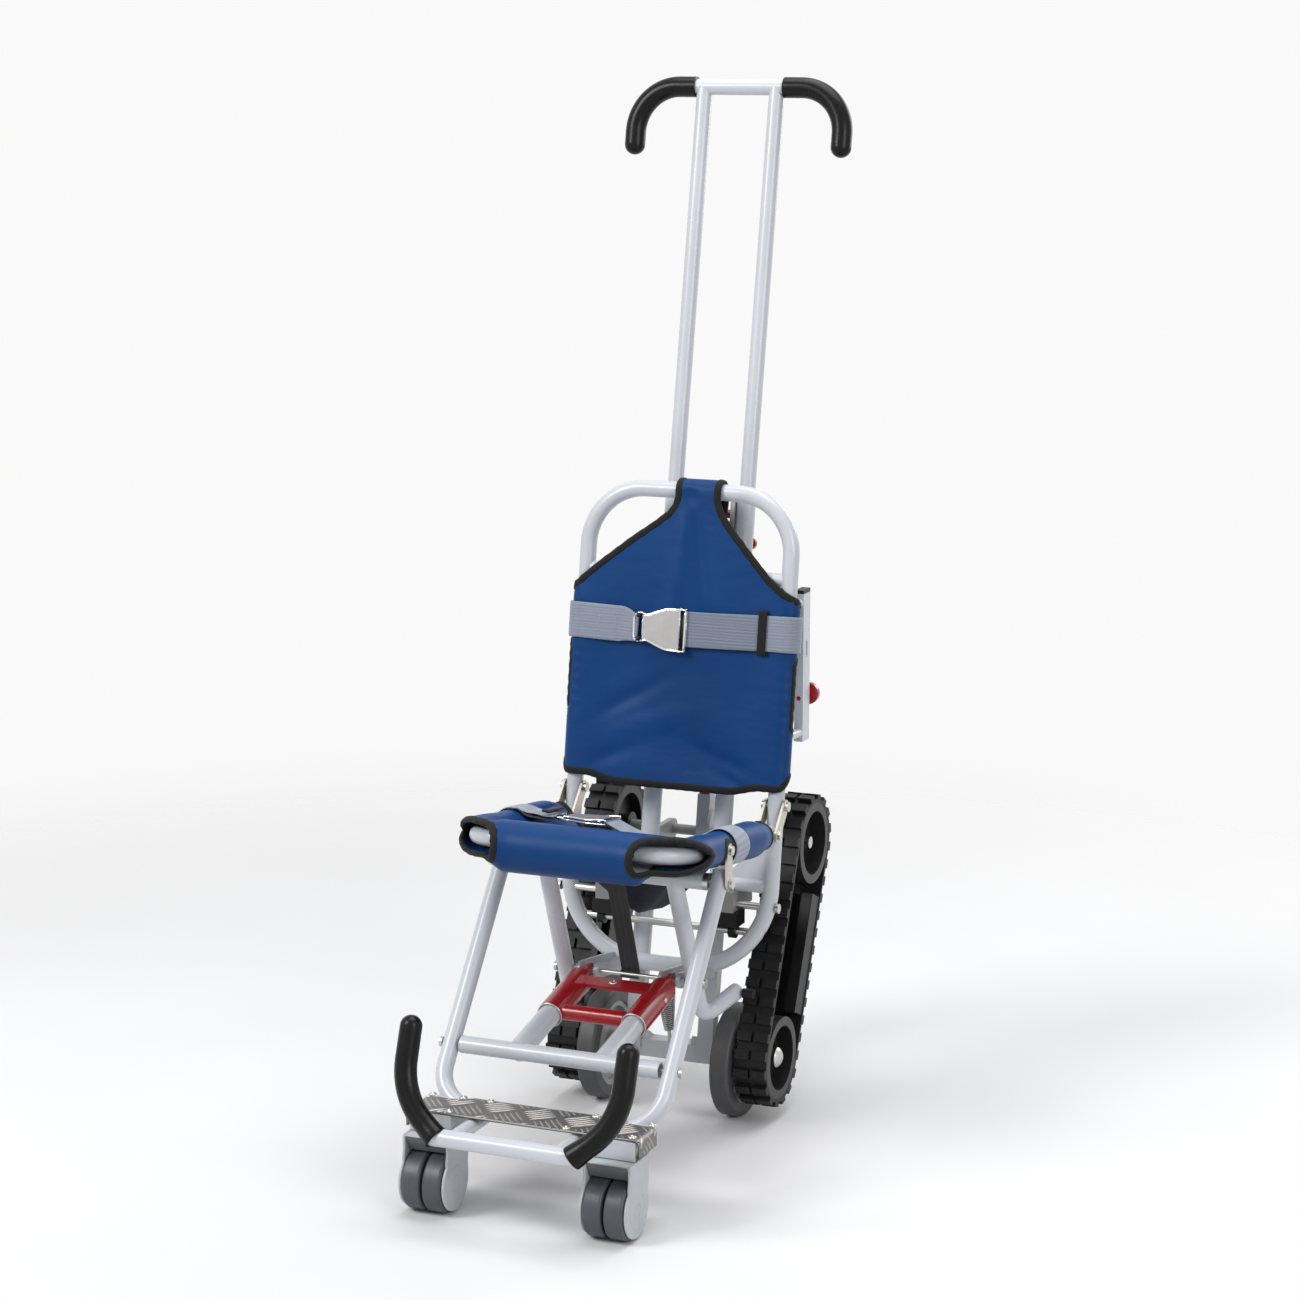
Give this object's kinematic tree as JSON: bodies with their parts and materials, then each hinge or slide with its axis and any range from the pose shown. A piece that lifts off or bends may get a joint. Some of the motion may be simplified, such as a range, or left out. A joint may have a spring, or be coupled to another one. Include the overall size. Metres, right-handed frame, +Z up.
{
  "type": "evacuation chair",
  "caption": "Folding stair evacuation chair with telescopic handle, blue sling seat and back, track belts, rear wheels, castors and red fold lock.",
  "frame": {"origin": "centre of the bounding box on the floor", "axes": "chair faces -Y, +X is the sitter's left, +Z up"},
  "size_m": [0.3358, 0.7892, 1.3547],
  "materials": {
    "frame_paint": "smooth pale grey powder coat",
    "grey_casting": "satin mid grey",
    "plain_steel": "zinc plated",
    "checker_plate": "raised checker pattern",
    "black_plastic": "matt black",
    "black_rubber": "matt rubber",
    "grip_foam": "smooth black grip",
    "wheel_tyre": "plain dark grey",
    "castor_plastic": "satin grey plastic",
    "blue_fabric": "coated woven cloth",
    "grey_webbing": "woven belt webbing",
    "black_webbing": "woven webbing",
    "red_plastic": "bright red"
  },
  "bodies": {
    "chassis": {"back_frame": "frame_paint", "frame_gussets": "frame_paint", "guide_tubes": "frame_paint", "guide_brackets": "frame_paint", "guide_clamps": "grey_casting", "shaft_blocks": "grey_casting", "rubber_pads": "black_rubber", "cross_rods": "plain_steel", "frame_caps": "black_plastic", "axle_frame": "grey_casting", "axle_pins": "plain_steel", "return_spring": "plain_steel", "seat_brace": "frame_paint", "brace_brackets": "grey_casting", "pull_strap": "black_webbing", "track_shaft": "grey_casting", "left_track_frame": "black_plastic", "right_track_frame": "black_plastic", "left_track_belt": "black_rubber", "right_track_belt": "black_rubber", "rear_rail": "frame_paint", "back_cover": "blue_fabric", "chest_belt": "grey_webbing", "chest_buckle": "plain_steel", "frame_bolts": "plain_steel"},
    "handle": {"handle_frame": "frame_paint", "handle_grips": "grip_foam"},
    "lock_plunger": {"lock_knob": "red_plastic"},
    "release": {"release_bar": "red_plastic"},
    "rail_plunger": {"rail_knob": "red_plastic"},
    "brake": {"brake_lever": "grey_casting", "lever_tab": "red_plastic"},
    "left_wheel": {"left_tyre": "wheel_tyre", "left_hub": "grey_casting"},
    "right_wheel": {"right_tyre": "wheel_tyre", "right_hub": "grey_casting"},
    "left_low_pulley": {"left_low_pulley": "grey_casting"},
    "left_top_pulley": {"left_top_pulley": "grey_casting"},
    "right_low_pulley": {"right_low_pulley": "grey_casting"},
    "right_top_pulley": {"right_top_pulley": "grey_casting"},
    "seat": {"seat_frame": "frame_paint", "seat_plates": "plain_steel", "seat_cover": "blue_fabric", "seat_sling": "blue_fabric", "lap_belt": "grey_webbing", "lap_buckle": "plain_steel", "seat_bolts": "plain_steel"},
    "chest_flap": {"chest_flap": "plain_steel"},
    "lap_flap": {"lap_flap": "plain_steel"},
    "legs": {"leg_frame": "frame_paint", "castor_channels": "frame_paint", "footplate": "checker_plate", "front_grips": "grip_foam", "leg_bolts": "plain_steel"},
    "left_castor": {"left_castor_fork": "castor_plastic"},
    "right_castor": {"right_castor_fork": "castor_plastic"},
    "left_castor_wheel": {"left_castor_wheels": "wheel_tyre"},
    "right_castor_wheel": {"right_castor_wheels": "wheel_tyre"},
    "collar": {"lock_collar": "red_plastic"},
    "push": {"push_frame": "frame_paint"}
  },
  "joints": [
    {"name": "handle_slide", "type": "slide", "parent": "chassis", "child": "handle", "axis": [0, -0.1891, -0.982], "range_m": [0, 0.4]},
    {"name": "lock_plunger", "type": "slide", "parent": "chassis", "child": "lock_plunger", "axis": [0, 0.982, -0.1891], "range_m": [0, 0.006], "stiffness_N_per_m": 400, "springref_m": -0.004},
    {"name": "handle_release", "type": "slide", "parent": "chassis", "child": "release", "axis": [0, -0.1891, -0.982], "range_m": [0, 0.01], "stiffness_N_per_m": 400, "springref_m": -0.004},
    {"name": "rail_plunger", "type": "slide", "parent": "chassis", "child": "rail_plunger", "axis": [0, 1, 0], "range_m": [0, 0.008], "stiffness_N_per_m": 400, "springref_m": -0.004},
    {"name": "brake_swing", "type": "hinge", "parent": "chassis", "child": "brake", "pos_m": [0, 0.26533, 0.3481], "axis": [1, 0, 0], "range_deg": [-15, 15]},
    {"name": "left_wheel_spin", "type": "hinge", "parent": "chassis", "child": "left_wheel", "pos_m": [-0.095, 0.14553, 0.075], "axis": [1, 0, 0], "continuous": true},
    {"name": "left_low_pulley_spin", "type": "hinge", "parent": "chassis", "child": "left_low_pulley", "pos_m": [-0.135, 0.14553, 0.084], "axis": [1, 0, 0], "continuous": true},
    {"name": "left_top_pulley_spin", "type": "hinge", "parent": "chassis", "child": "left_top_pulley", "pos_m": [-0.135, 0.26533, 0.3481], "axis": [1, 0, 0], "continuous": true},
    {"name": "right_wheel_spin", "type": "hinge", "parent": "chassis", "child": "right_wheel", "pos_m": [0.095, 0.14553, 0.075], "axis": [1, 0, 0], "continuous": true},
    {"name": "right_low_pulley_spin", "type": "hinge", "parent": "chassis", "child": "right_low_pulley", "pos_m": [0.135, 0.14553, 0.084], "axis": [1, 0, 0], "continuous": true},
    {"name": "right_top_pulley_spin", "type": "hinge", "parent": "chassis", "child": "right_top_pulley", "pos_m": [0.135, 0.26533, 0.3481], "axis": [1, 0, 0], "continuous": true},
    {"name": "seat_fold", "type": "hinge", "parent": "chassis", "child": "seat", "pos_m": [0, 0.15074, 0.424], "axis": [-1, 0, 0], "range_deg": [0, 70]},
    {"name": "chest_flap_lift", "type": "hinge", "parent": "chassis", "child": "chest_flap", "pos_m": [0.006, 0.16105, 0.65075], "axis": [0, 0.153, 0.9882], "range_deg": [0, 70], "stiffness_Nm_per_rad": 0.05, "springref_deg": -17.19},
    {"name": "lap_flap_lift", "type": "hinge", "parent": "seat", "child": "lap_flap", "pos_m": [-0.014, -0.02584, 0.42511], "axis": [0, 0.9909, -0.1349], "range_deg": [0, 70], "stiffness_Nm_per_rad": 0.05, "springref_deg": -17.19},
    {"name": "leg_fold", "type": "hinge", "parent": "chassis", "child": "legs", "pos_m": [0, -0.06347, 0.374], "axis": [1, 0, 0], "range_deg": [0, 25]},
    {"name": "brace_swing", "type": "hinge", "parent": "chassis", "child": "collar", "pos_m": [0, 0.00253, 0.22], "axis": [1, 0, 0], "range_deg": [0, 26]},
    {"name": "brace_slide", "type": "slide", "parent": "collar", "child": "push", "axis": [0, 0.9795, 0.2013], "range_m": [0, 0.075]},
    {"name": "left_castor_swivel", "type": "hinge", "parent": "legs", "child": "left_castor", "pos_m": [-0.12, -0.30847, 0.09], "axis": [0, 0, 1], "continuous": true},
    {"name": "left_castor_roll", "type": "hinge", "parent": "left_castor", "child": "left_castor_wheel", "pos_m": [-0.12, -0.32847, 0.0375], "axis": [1, 0, 0], "continuous": true},
    {"name": "right_castor_swivel", "type": "hinge", "parent": "legs", "child": "right_castor", "pos_m": [0.12, -0.30847, 0.09], "axis": [0, 0, 1], "continuous": true},
    {"name": "right_castor_roll", "type": "hinge", "parent": "right_castor", "child": "right_castor_wheel", "pos_m": [0.12, -0.32847, 0.0375], "axis": [1, 0, 0], "continuous": true}
  ],
  "couplings": [
    {"joint": "brace_swing", "follows": "leg_fold", "ratio": 0.98},
    {"joint": "brace_slide", "follows": "leg_fold", "m_per_rad": 0.16616},
    {"joint": "left_top_pulley_spin", "follows": "left_low_pulley_spin", "ratio": 1},
    {"joint": "right_top_pulley_spin", "follows": "right_low_pulley_spin", "ratio": 1}
  ]
}
